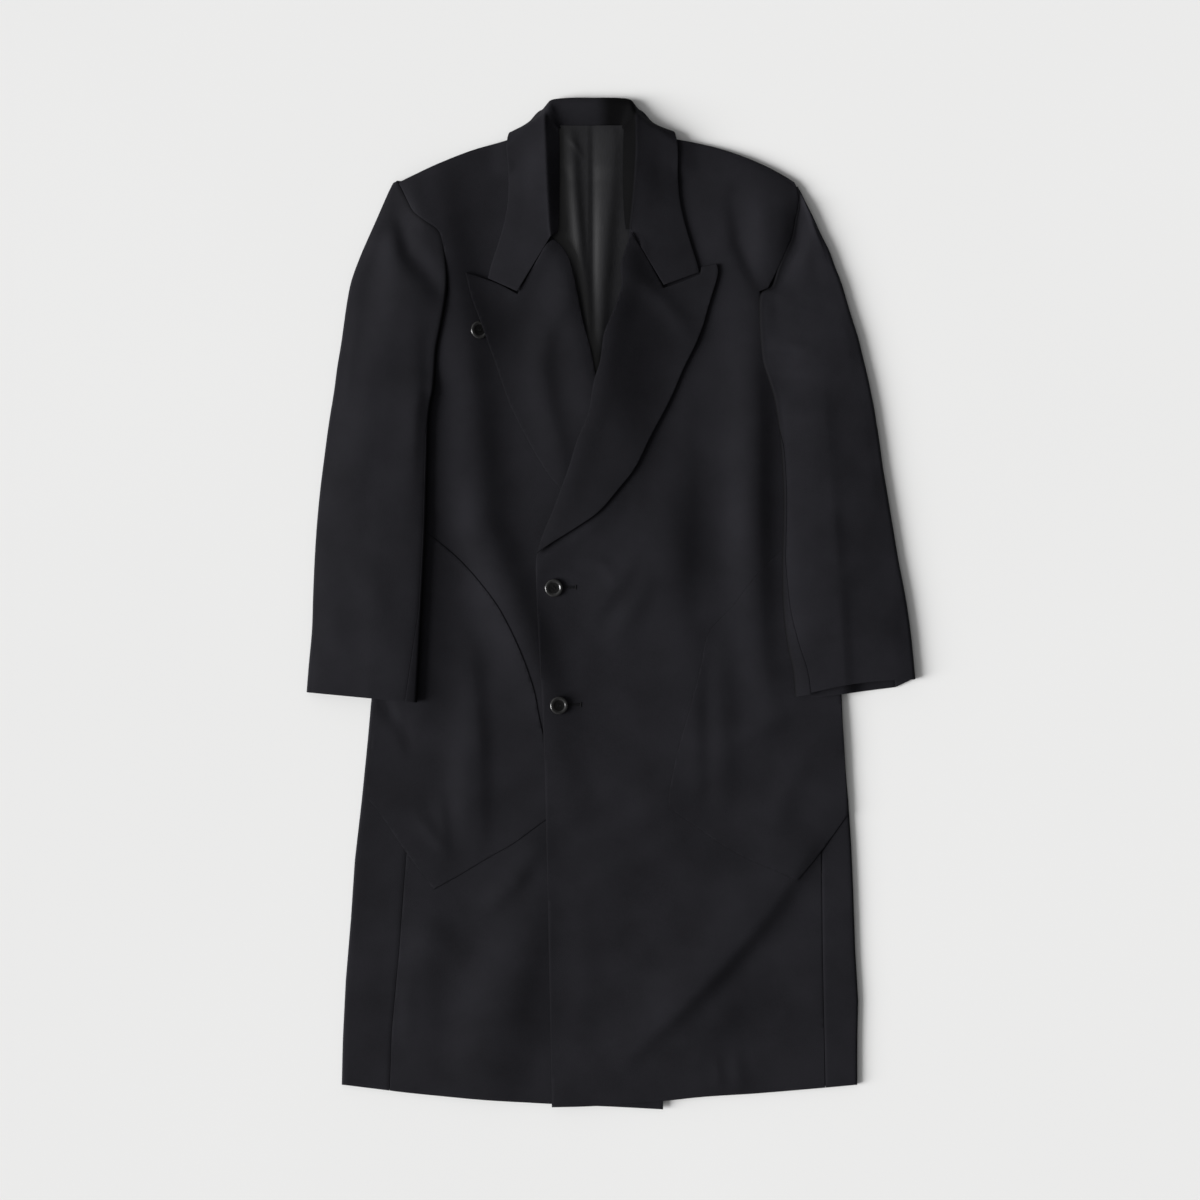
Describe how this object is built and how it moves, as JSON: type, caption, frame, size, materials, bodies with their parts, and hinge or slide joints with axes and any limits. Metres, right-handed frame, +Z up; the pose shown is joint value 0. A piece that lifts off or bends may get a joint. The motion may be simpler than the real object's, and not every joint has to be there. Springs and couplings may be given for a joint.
{
  "type": "long tailored coat laid flat",
  "caption": "Long black tailored coat with peak lapels and pointed patch pockets, buttoned left over right and lying flat on its back.",
  "frame": {"origin": "centre of the coat's outline in plan, on the surface that it lies on", "axes": "+X toward the wearer's left side, +Y from the hems to the collar, +Z up, out of the coat's front"},
  "size_m": [0.6992, 1.162, 0.0264],
  "materials": {
    "wool": "fine twill wool, matt with a slight sheen",
    "lining": "satin lining",
    "button": "satin black"
  },
  "bodies": {
    "root": {"back_left": "wool", "back_right": "wool", "collar": "wool", "front_left": "wool", "front_right": "wool", "lapel_left": "wool", "lapel_right": "wool", "pocket_left": "wool", "pocket_right": "wool", "side_left": "wool", "side_right": "wool", "top_sleeve_left": "wool", "top_sleeve_right": "wool", "under_sleeve_left": "wool", "under_sleeve_right": "wool", "lining": "lining", "button_1": "button", "button_2": "button", "button_3": "button"}
  },
  "joints": []
}
